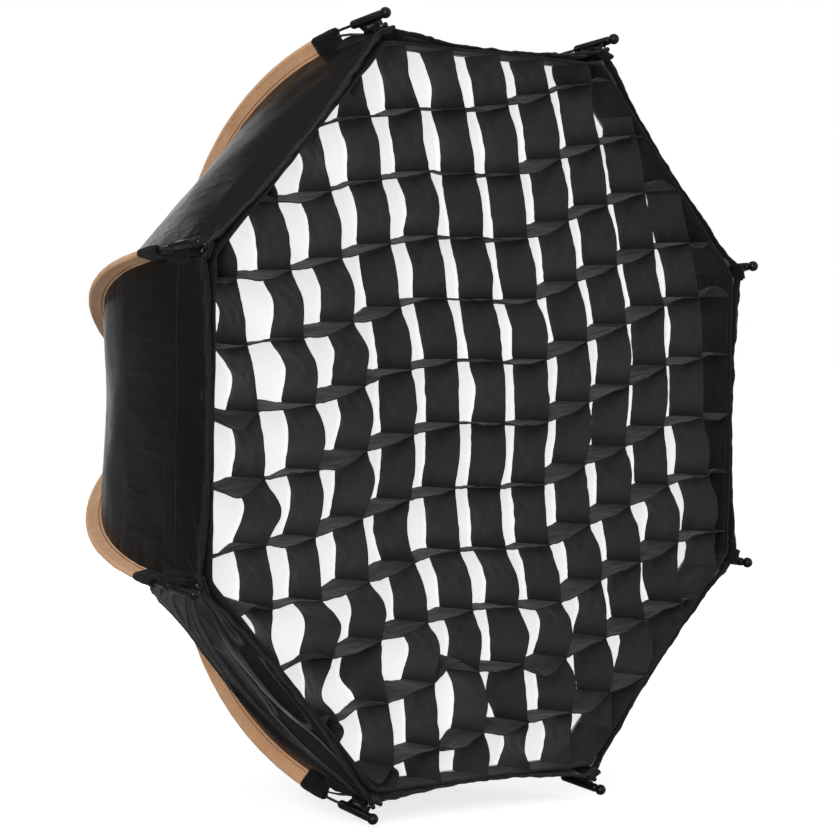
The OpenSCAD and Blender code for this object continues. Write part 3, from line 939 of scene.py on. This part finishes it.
def make_cap(rib, cap):
    """Tip cap: a turned body with a ball end, and an open bracket on its inner side."""
    ball = [(BALL_CENTRE - BALL_RADIUS * math.cos(math.radians(angle)),
             BALL_RADIUS * math.sin(math.radians(angle))) for angle in BALL_ANGLES]
    body = np.array(CAP_PROFILE + ball)
    run, radius = body[:, :1], body[:, 1:]
    angle = np.arange(40) * 2 * math.pi / 40
    mesh = Mesh()
    loft(mesh, cap.at(run, radius * np.cos(angle), radius * np.sin(angle)))
    for sign in (-1, 1):                                  # parting line
        path = cap.at(np.linspace(9.0, 42.5, 24), 0, sign * 3.47)
        tube(mesh, path, cap.outward, circle(0.16, 6))
    for bar in BRACKET:
        add_bar(mesh, cap, *bar)
    pin = cap.at(41.0, -8.2, np.linspace(-3.4, 3.4, 14))
    tube(mesh, pin, cap.axis, circle(0.8, 14), slot=1)
    add_bar(mesh, cap, *NOSE_BAR)
    part = np.linspace(0, 1, 16)
    swell = np.sqrt(np.clip(1 - (2 * part - 1) ** 2 * 0.96, 0.02, 1))
    nose = cap.at(41.2 + 3.6 * part, -8.3 - 0.4 * part)
    tube(mesh, nose, cap.sideways, circle(2.0, 16), scale=swell)
    obj = mesh.make(f"tip_cap_body_{rib}", [CAP, STEEL])
    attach(obj, f"rib_{rib}")
    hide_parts(f"tip_cap_{rib}")


def add_tent(mesh, cap, rib):
    """Folded webbing along the corner seam, from inside the cuff to the rim."""
    runs = np.linspace(-15.0, 43.5, 60)
    tops = np.interp(runs, TENT_TOP[:, 0], TENT_TOP[:, 1])
    tops = tops + 0.35 * noise(runs / 6.0, 0.3, 260 + rib)
    widths = 1 + 0.10 * noise(runs / 7.0, 0.6, 265 + rib)
    rings = []
    for run, top, width in zip(runs, tops, widths):
        half = [(x * width, max(top + y, -12.2)) for x, y in TENT_SLOPE]
        half += [(x * width, y) for x, y in TENT_HEM]
        ring = np.array(half + [(0.0, -11.8)] + [(-x, y) for x, y in half[:0:-1]])
        rings.append(cap.at(run, ring[:, 1], ring[:, 0]))
    rings = np.array(rings)
    after = np.roll(rings, -1, 1)
    rings = np.stack([rings * (1 - part) + after * part for part in (0.0, 0.34, 0.67)], 2)
    rings = rings.reshape(len(runs), -1, 3)
    order = np.arange(rings.shape[1])[None]
    rough = 0.16 * noise(runs[:, None] / 1.9, order / 2.6, 268 + rib)
    loft(mesh, rings + cap.outward * (rough * MM)[..., None])


def add_strap(mesh, cap, points, width, thickness, seed, slot):
    """Webbing along (run, outward) points."""
    points = np.array(points, float)
    reached = travel(points)
    along = np.linspace(0, reached[-1], 44)
    path = np.stack([np.interp(along, reached, points[:, k]) for k in (0, 1)], -1)
    for _ in range(5):
        path[1:-1] = (path[:-2] + 2 * path[1:-1] + path[2:]) / 4
    path = cap.at(path[:, 0], path[:, 1])
    outline, _, _ = resample(round_rect(width, thickness, thickness * 0.42, 5), 64)
    x, y = outline[None, :, 0], outline[None, :, 1]
    up = np.cross(directions(path), cap.sideways)
    along = along[:, None]
    side = x * (1 + 0.07 * noise(along / 6.0, 0, seed))
    lift = (y + 0.18 * noise(along / 4.0, x / 4.0, seed + 1)
            + 0.08 * np.sin(x * 2 * math.pi / 1.7) * np.sign(y))
    rings = path[:, None] + (cap.sideways * side[..., None] + up[:, None] * lift[..., None]) * MM
    loft(mesh, rings, slot, uv_map(x, along))


def make_corner_webbing(rib, cap):
    mesh = Mesh()
    add_tent(mesh, cap, rib)
    for points, width, thickness, seed, slot in STRAPS:
        add_strap(mesh, cap, points, width, thickness, seed + rib, slot)
    for run, out in ((26.0, -6.2), (33.0, -6.35)):        # stitch rows across the loop
        row = cap.at(run, out, np.linspace(-5.2, 5.2, 7))
        stitches(mesh, row, cap.outward, slot=2, radius=0.3)
    obj = mesh.make(f"corner_webbing_{rib}", [WEB, TWILL, THREAD])
    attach(obj, f"rib_{rib}")


for rib in SIDES:
    cap = CapFrame(rib)
    make_sleeve(rib)
    make_cuff(rib)
    make_cap(rib, cap)
    make_corner_webbing(rib, cap)

# ---------------------------------------------------------------- diffuser
DIFFUSER_APOTHEM, DIFFUSER_DEPTH = 288.5, 43.1      # depth behind the front plane
DIFFUSER_HALF = 0.3                                 # half its thickness


def make_diffuser():
    """A thin octagonal sheet, lightly rippled at its edge."""
    spokes, rings = 320, 70
    angle = (np.arange(spokes) * 2 * math.pi / spokes)[:, None]
    part = np.linspace(0, 1, rings + 1)[None, 1:]
    octagon = 1 / np.cos((angle + math.pi / 8) % (math.pi / 4) - math.pi / 8)
    radius = DIFFUSER_APOTHEM * octagon * part
    x, y = radius * np.cos(angle), radius * np.sin(angle)
    z = FRONT - (DIFFUSER_DEPTH
                 + 0.55 * layered(x / 70, y / 70, 401, 3) * smooth((1 - part) / 0.1)
                 + 0.35 * np.sin(angle * 40) * np.exp(-(1 - part) / 0.08))
    skin, _ = quads(spokes, rings, wrap_rows=True)
    here = np.arange(spokes)
    after = (here + 1) % spokes
    fan = np.stack([np.full(spokes, spokes * rings), here * rings, after * rings], -1)
    mesh = Mesh()
    for sign in (1, -1):                            # front face, then back face
        offset = sign * DIFFUSER_HALF
        points = np.concatenate([to_world(x, y, z + offset).reshape(-1, 3),
                                 to_world([0.0], [0.0], [z[:, 0].mean() + offset])])
        first = mesh.add_points(points)
        for faces in (skin, fan):
            if looks_away(points, faces[0], np.array([0, -sign, 0])):
                faces = faces[:, ::-1]
            mesh.add_faces(first, faces, 0, points[:, [0, 2]])
    points = np.concatenate(mesh.points)
    here, after = here * rings + rings - 1, after * rings + rings - 1
    back = spokes * rings + 1
    rim = np.stack([here, after, after + back, here + back], -1)
    if looks_away(points, rim[0], points[rim[0, 0]] * np.array([1, 0, 1])):
        rim = rim[:, ::-1]
    mesh.add_faces(0, rim, 0, points[:, [0, 2]])
    obj = mesh.make("diffuser_cloth", [DIFFUSER])
    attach(obj, "diffuser")
    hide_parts("diffuser")


make_diffuser()

# ---------------------------------------------------------------- grid
# The lattice is turned by TURN: its p axis points right, its q axis up. Vertical strips ("v")
# stand at a fixed p and run along q; horizontal strips ("h") the other way round.
CT, ST = math.cos(math.radians(TURN)), math.sin(math.radians(TURN))
P_AXIS, Q_AXIS = (CT, ST), (-ST, CT)
SIDE_NORMALS = [(math.cos(math.radians(45 * k)), math.sin(math.radians(45 * k)))
                for k in range(8)]
DEPTH_CELLS = 6                              # cells across a strip's depth in the simulation
PITCH_CELLS = 8                              # cells along one pitch
STRIP_FRONT = 2.0                            # front edges of the strips, behind the front plane
draw = np.random.RandomState(77)


def lattice(along_p, along_q):
    """Lattice place to x and y, with the slack cloth's slow drift, which dies out at the band."""
    part_p, part_q = along_p / 250.0, along_q / 250.0
    x, y = along_p * CT - along_q * ST, along_p * ST + along_q * CT
    outness = max(x * side_x + y * side_y for side_x, side_y in SIDE_NORMALS) / BAND
    hold = 1 - np.clip(outness, 0, 1) ** 5
    drift_p = (9.0 + 9.0 * bell(part_q, 0.18, 0.26) - 11.0 * bell(part_q, -0.30, 0.2)
               + 3.0 * part_q) * hold
    drift_q = (-13.0 * bell(part_p, 0.2, 0.27) + 5.0 * bell(part_p, -0.3, 0.22)
               + 10.0 * smooth((part_p - 0.55) / 0.4) - 5.0 * smooth((-part_p - 0.5) / 0.4)) * hold
    return x + drift_p * CT - drift_q * ST, y + drift_p * ST + drift_q * CT


def reach(kind, fixed):
    """Ends of a strip inside the band."""
    along, across = (Q_AXIS, P_AXIS) if kind == "v" else (P_AXIS, Q_AXIS)
    lower, upper = [], []
    for x, y in SIDE_NORMALS:
        base = fixed * across[0] * x + fixed * across[1] * y
        run = along[0] * x + along[1] * y
        (upper if run > 0 else lower).append((BAND - 0.9 - base) / run)
    return max(lower), min(upper)


def inside(i, j):
    x, y = PITCH * i * CT - PITCH * j * ST, PITCH * i * ST + PITCH * j * CT
    return max(x * side_x + y * side_y for side_x, side_y in SIDE_NORMALS) < BAND - 7


def cell_slack(kind, k, start, end, is_end):
    """How a cell's cloth bows sideways, how much its front edge follows, and its twist."""
    if kind == "v":
        bow = draw.normal(2.6 + 3.4 * smooth((-k - 1) / 3.0), 2.2)
    else:
        bow = draw.normal(-0.2, 0.9)
    follow = draw.uniform(0.8, 1.15)
    twist = draw.normal(0, 0.9)
    lowest = start < -150 if kind == "v" else k < -3
    if is_end or lowest:                     # the short ends and the lowest rows hang loose
        bow = bow * 0.6 + draw.normal(0, 5.0 if lowest else 3.2)
        twist = draw.normal(0, 3.2 if lowest else 2.6)
    if k <= -3 if kind == "v" else end < -140:      # and so does the left edge
        bow = np.clip(bow * (1.6 if is_end else 1.3), -11, 11)
        twist = (np.clip(twist * (3.0 if is_end else 2.2), -11, 11)
                 * min(1.0, (end - start) / 42.0))
    return bow * min(1.0, (end - start) / PITCH), follow, twist


def strip_samples(kind, k):
    """Stations along a strip: place, part of its cell, and the cell's slack."""
    start, end = reach(kind, PITCH * k)
    knots = [start] + [PITCH * j for j in range(-5, 6)
                       if inside(*((k, j) if kind == "v" else (j, k)))] + [end]
    samples = []
    for before, after in zip(knots[:-1], knots[1:]):
        count = PITCH_CELLS
        if abs(after - before - PITCH) >= 1e-6:
            count = max(2, int(round((after - before) / (PITCH / PITCH_CELLS))))
        is_end = min(abs(before - start), abs(after - end)) < 1e-6
        slack = cell_slack(kind, k, before, after, is_end)
        for n in range(count + (1 if after == end else 0)):
            part = n / count
            samples.append((before + (after - before) * part, part, *slack))
    return samples


def lay_out_strips():
    """Points (x, y, depth behind the front), the crossings' point numbers, and each strip's rows
    of point numbers. Strips share their points where they cross."""
    points, crossings, strips = [], {}, {}
    for kind in "vh":
        for k in range(-5, 6):
            rows = []
            for place, part, bow, follow, twist in strip_samples(kind, k):
                j = round(place / PITCH)
                key = None
                if abs(place - PITCH * j) < 1e-6 and abs(j) <= 5:
                    key = (k, j) if kind == "v" else (j, k)
                    if not inside(*key):
                        key = None
                if key is not None and key in crossings:
                    rows.append(crossings[key])
                    continue
                swing = abs(math.sin(math.pi * part)) ** 1.5
                row = []
                for n in range(DEPTH_CELLS + 1):
                    deep = n / DEPTH_CELLS
                    side = (swing * (bow * (follow + (1 - follow) * deep)
                                     + twist * (deep - 0.5) * 2)
                            + 0.25 * draw.normal() * swing)
                    fixed = PITCH * k + side
                    x, y = lattice(*((fixed, place) if kind == "v" else (place, fixed)))
                    row.append(len(points))
                    points.append((float(x), float(y), STRIP_FRONT + STRIP * deep))
                if key is not None:
                    crossings[key] = row
                rows.append(row)
            strips[(kind, k)] = np.array(rows)
    return np.array(points), crossings, strips


def simulate_grid(start, strips):
    """Lets the strips settle as cloth pinned at the band, and gives the new points."""
    faces = []
    for rows in strips.values():
        corners = np.stack([rows[:-1, :-1], rows[1:, :-1], rows[1:, 1:], rows[:-1, 1:]], -1)
        faces += [tuple(face) for face in corners.reshape(-1, 4).tolist()]
    mesh = bpy.data.meshes.new("grid_sim")
    mesh.from_pydata(start.tolist(), [], faces)
    mesh.update()
    obj = bpy.data.objects.new("grid_sim", mesh)
    bpy.context.scene.collection.objects.link(obj)
    pin = obj.vertex_groups.new(name="pin")
    slack = obj.vertex_groups.new(name="slack")
    ends = {int(n) for rows in strips.values() for row in (rows[0], rows[-1]) for n in row}
    pin.add(sorted(ends), 1.0, "REPLACE")
    for k in range(DEPTH_CELLS + 1):
        column = {int(n) for rows in strips.values() for n in rows[:, k]}
        slack.add(sorted(column), k / DEPTH_CELLS, "REPLACE")
    cloth = obj.modifiers.new("Cloth", "CLOTH")
    settings = cloth.settings
    settings.quality = 6
    settings.mass = 0.04
    settings.air_damping = 3.0
    settings.tension_stiffness = settings.compression_stiffness = 18
    settings.shear_stiffness = 6
    settings.bending_stiffness = 3.0
    settings.tension_damping = settings.compression_damping = settings.shear_damping = 6
    settings.bending_damping = 1.0
    settings.vertex_group_mass = "pin"
    settings.pin_stiffness = 20
    settings.shrink_min, settings.shrink_max = -0.003, -0.004
    settings.vertex_group_shrink = "slack"
    settings.effector_weights.gravity = 0.012
    cloth.collision_settings.use_collision = False
    cloth.collision_settings.use_self_collision = False
    cloth.point_cache.frame_start, cloth.point_cache.frame_end = 1, 26
    for n in range(1, 27):
        bpy.context.scene.frame_set(n)
    settled = obj.evaluated_get(bpy.context.evaluated_depsgraph_get())
    points = np.empty(len(mesh.vertices) * 3, np.float32)
    settled.data.vertices.foreach_get("co", points)
    points = points.reshape(-1, 3).astype(float)
    bpy.data.objects.remove(obj)
    bpy.context.scene.frame_set(1)
    move = points - start
    length = np.linalg.norm(move, axis=1, keepdims=True)
    limit = 14 * MM
    return start + np.where(length > limit, move * limit / np.maximum(length, 1e-9), move)


def refine(grid, rows, columns):
    """Catmull-Rom refinement of a grid of points, rows and columns times."""
    def refine_rows(points, steps):
        padded = np.concatenate([2 * points[:1] - points[1:2], points,
                                 2 * points[-1:] - points[-2:-1]])
        fine = []
        for before, here, after, beyond in zip(padded, padded[1:], padded[2:], padded[3:]):
            for k in range(steps):
                x = k / steps
                fine.append(0.5 * (2 * here + (after - before) * x
                                   + (2 * before - 5 * here + 4 * after - beyond) * x * x
                                   + (3 * here - before - 3 * after + beyond) * x ** 3))
        fine.append(points[-1])
        return np.array(fine)

    by_column = refine_rows(np.swapaxes(refine_rows(grid, rows), 0, 1), columns)
    return np.swapaxes(by_column, 0, 1)


def make_strip(kind, k, rows, points, crossing_rows):
    """One grid strip, wrinkled and with uneven cut edges."""
    grid = refine(points[rows], 4, 3)
    count, width = grid.shape[:2]
    middle = grid[:, width // 2]
    reached = travel(middle) / MM
    along, deep = reached[:, None], (travel(grid[count // 2]) / MM)[None]
    crossings = np.array([middle[4 * n] for n in range(len(rows))
                          if tuple(rows[n]) in crossing_rows])
    distance = np.min(np.linalg.norm(middle[:, None] - crossings[None], axis=-1), axis=1) / MM
    seed = 500 + (0 if kind == "v" else 40) + k
    near = bell(distance, 0, 9.0)[:, None]
    clear = smooth(distance / 3.0)[:, None]
    wrinkle = (0.55 * noise(along / 5.0, deep / 12.0, seed) * near
               + 0.35 * layered(along / 16.0, deep / 22.0, seed + 3, 2)
               + 0.22 * noise(along / 2.4, deep / 30.0, seed + 6) * (0.3 + near)) * clear
    # faint pressed folds across the strip, left from packing
    for place in draw.uniform(0, reached[-1], 9):
        line = np.abs(along - place + 0.05 * (deep - 19) * draw.normal())
        wrinkle = wrinkle + 0.35 * np.exp(-line / 1.3) * clear * draw.choice([-1, 1])
    grid = grid + grid_normals(grid) * (wrinkle * MM)[..., None]
    inward = unit(np.gradient(grid, axis=1))
    back = 0.35 * noise(reached / 7.0, 0, seed + 9) + 0.18 * noise(reached / 2.0, 0, seed + 10)
    front = 0.25 * noise(reached / 9.0, 1, seed + 11)
    grid[:, -1] += inward[:, -1] * back[:, None] * MM * 0.8
    grid[:, 0] += inward[:, 0] * front[:, None] * MM
    mesh = Mesh()
    sheet(mesh, grid, 0.75 * MM, uv_map(along, deep), (0, 0, 1), edge=0.10 * MM)
    obj = mesh.make(f"grid_strip_{kind}_{k + 6:02d}", [GRID, HEM])
    # painted shade mask: 0 at the crossings, where the colour is darkest, 1 in the open
    shade = 0.75 * smooth((distance - 0.5) / 15.0) + 0.25 * smooth((distance - 0.5) / 4.0)
    shade = np.tile(np.repeat(shade, width), 2).astype(np.float32)
    obj.data.attributes.new("shade", "FLOAT", "POINT").data.foreach_set("value", shade)
    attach(obj, "grid")
    return obj


def make_strips():
    places, crossings, strips = lay_out_strips()
    points = to_world(places[:, 0], places[:, 1], FRONT - places[:, 2])
    points = simulate_grid(points, strips)
    points[:, 1] = np.clip(points[:, 1], -(FRONT - 0.6) * MM, -(FRONT - 41.6) * MM)
    crossing_rows = {tuple(row) for row in crossings.values()}
    made = {"v": [], "h": []}
    for (kind, k), rows in strips.items():
        made[kind].append(make_strip(kind, k, rows, points, crossing_rows))
    for obj in made["v"]:
        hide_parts("grid_vertical_strips")
    for obj in made["h"]:
        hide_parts("grid_horizontal_strips")


def band_outline():
    """Octagon with rounded corners: x, y and the outward direction at each point."""
    apothem, corner = BAND + 0.8, 9.0
    straight = (apothem - corner) * math.tan(math.pi / 8)
    centre = (apothem - corner) / math.cos(math.pi / 8)
    points = []
    for k in range(8):
        angle = math.radians(45 * k)
        x, y = math.cos(angle), math.sin(angle)
        for part in np.linspace(-1, 1, 58):
            along = straight * part
            points.append((apothem * x - along * y, apothem * y + along * x, x, y))
        middle = angle + math.pi / 8
        for part in np.linspace(0, 1, 8)[1:-1]:
            turn = angle + part * math.pi / 4
            x, y = math.cos(turn), math.sin(turn)
            points.append((centre * math.cos(middle) + corner * x,
                           centre * math.sin(middle) + corner * y, x, y))
    return np.array(points)


def make_band():
    """The band round the grid, with a row of stitches near each edge."""
    outline = band_outline()
    reached = travel(outline[:, :2])
    along = reached[:, None]
    half = reached[-1] / 2
    fade = smooth((half - np.abs(along - half)) / 20)     # the noise dies out where the loop closes
    depths = np.linspace(1.0, 41.0, 22)
    deep = depths[None]
    swell = (0.55 * layered(along / 28.0, deep / 20.0, 601, 3)
             + 0.5 * noise(along / 9.0, deep / 26.0, 604)) * fade - 0.6
    depth = deep + 0.5 * noise(along / 15.0, 2.0, 606) * (1 - deep / 41) * fade
    x, y, out_x, out_y = (outline[:, k, None] for k in range(4))
    points = to_world(x + out_x * swell, y + out_y * swell, FRONT - depth)
    mesh = Mesh()
    sheet(mesh, points, 1.3 * MM, uv_map(along, deep), (0, 0, 1), wrap=True, edge=0.25 * MM)
    for stitch_depth in (4.0, 38.0):
        place = np.interp(np.arange(0, reached[-1] - 3, 3.4), reached, np.arange(len(reached)))
        here = place.astype(int)
        part = (place - here)[:, None]
        line = points[:, int(np.argmin(abs(depths - stitch_depth)))]
        after = line[np.minimum(here + 1, len(line) - 1)]
        inward = -np.stack([outline[here, 2], 0 * place, outline[here, 3]], -1)
        row = line[here] * (1 - part) + after * part + inward * 0.8 * MM
        stitches(mesh, row, inward, slot=2, radius=0.3)
    obj = mesh.make("grid_band_loop", [TWILL, HEM, THREAD])
    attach(obj, "grid")
    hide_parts("grid_band")


make_strips()
make_band()

# ---------------------------------------------------------------- floor, world, lights, camera
scene = bpy.context.scene
FLOOR_HALF, FLOOR_GAP = 40.0, 0.004          # metres


def floor_material():
    """Nearly white to the camera, a dim grey to every other ray."""
    mat = Material("stage_floor", Specular_IOR_Level=0.0)
    ray = mat.node("ShaderNodeLightPath").outputs["Is Camera Ray"]
    mat.set("Emission Color", (1.0, 1.0, 1.0))
    mat.set("Emission Strength", mat.calc("MULTIPLY_ADD", ray, 0.70, 0.04))
    color = mat.ramp(ray, dark=(0.42, 0.42, 0.42), light=(0.86, 0.86, 0.86), start=0.0, end=1.0)
    return mat.done(color, 0.9)


def make_floor():
    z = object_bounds()[0].z - FLOOR_GAP
    mesh = bpy.data.meshes.new("floor")
    corners = [(x * FLOOR_HALF, y * FLOOR_HALF, z) for x, y in ((-1, -1), (1, -1), (1, 1), (-1, 1))]
    mesh.from_pydata(corners, [], [(0, 1, 2, 3)])
    mesh.materials.append(floor_material())
    floor = bpy.data.objects.new("floor", mesh)
    scene.collection.objects.link(floor)


# soft bright regions of the room: direction, cosines where they start and are full, strength
ROOM = (
    ((0, -1, 0), -0.9, 0.6, 0.36),           # in front
    ((0.64, 0.768, 0.0), 0.90, 0.995, 0.13), # behind, to the right
    ((0, 0, 1), 0.2, 1.0, 0.10),             # overhead
    ((0, 0, 1), -3.0, -2.0, 0.07))           # an even level all round


def make_world():
    """The room lights the scene, while the camera sees plain white."""
    world = bpy.data.worlds.new("studio")
    scene.world = world
    world.use_nodes = True
    tree = world.node_tree
    tree.nodes.clear()
    direction = add_node(tree, "ShaderNodeTexCoord").outputs["Generated"]
    total = None
    for axis, start, full, strength in ROOM:
        cosine = add_node(tree, "ShaderNodeVectorMath", {0: direction, 1: axis},
                          operation="DOT_PRODUCT").outputs["Value"]
        lobe = add_node(tree, "ShaderNodeMapRange",
                        {0: cosine, 1: start, 2: full, 3: 0.0, 4: strength},
                        interpolation_type="SMOOTHSTEP").outputs[0]
        if total is None:
            total = lobe
        else:
            total = add_node(tree, "ShaderNodeMath", {0: total, 1: lobe},
                             operation="ADD").outputs[0]
    room = add_node(tree, "ShaderNodeBackground", {0: (0.97, 0.985, 1.0), 1: total})
    white = add_node(tree, "ShaderNodeBackground", {0: (1, 1, 1), 1: 1.0})
    ray = add_node(tree, "ShaderNodeLightPath").outputs["Is Camera Ray"]
    mix = add_node(tree, "ShaderNodeMixShader", {0: ray, 1: room.outputs[0], 2: white.outputs[0]})
    output = add_node(tree, "ShaderNodeOutputWorld")
    tree.links.new(mix.outputs[0], output.inputs[0])


def area_light(name, location, target, size, power):
    """A softbox light aimed at a target; metres and watts."""
    light = bpy.data.lights.new(name, "AREA")
    light.shape = "RECTANGLE"
    light.size, light.size_y = size
    light.energy = power
    light.color = (1, 1, 1)
    obj = bpy.data.objects.new(name, light)
    scene.collection.objects.link(obj)
    obj.location = location
    obj.rotation_mode = "QUATERNION"
    obj.rotation_quaternion = (Vector(target) - Vector(location)).to_track_quat("-Z", "Y")
    obj.visible_camera = False


def make_camera():
    camera = bpy.data.cameras.new("camera")
    camera.lens = 132.646
    camera.sensor_width = 36.0
    camera.clip_start, camera.clip_end = 0.1, 200
    obj = bpy.data.objects.new("camera", camera)
    scene.collection.objects.link(obj)
    pose = Matrix(((0.72410963, 0.00595353, -0.68965919),
                   (-0.68949553, 0.02967958, -0.72368158),
                   (0.01616033, 0.99954173, 0.02559621))).to_4x4()
    pose.translation = Vector((-1.74848, -(FRONT + 1749.40) * MM, 0.05934))
    obj.matrix_world = pose
    scene.camera = obj


make_floor()
make_world()
area_light("key_softbox", location=(-4.7, -4.0, 1.35), target=(0, -0.2, 0), size=(3.2, 3.2),
           power=165)
area_light("rim_softbox", location=(-1.5, 1.2, 1.5), target=(-0.1, -0.2, 0.1), size=(1.0, 1.4),
           power=8)
area_light("fill_softbox", location=(1.8, -2.8, 0.5), target=(0, -0.3, 0), size=(2.0, 2.0),
           power=14)
area_light("top_softbox", location=(0.2, 0.2, 2.4), target=(0, -0.2, 0), size=(1.6, 1.6),
           power=6)
area_light("back_softbox", location=(1.3, 2.2, 0.4), target=(0, 0, 0), size=(1.2, 1.2), power=10)
make_camera()
scene.view_settings.view_transform = "Standard"
scene.view_settings.look = "None"
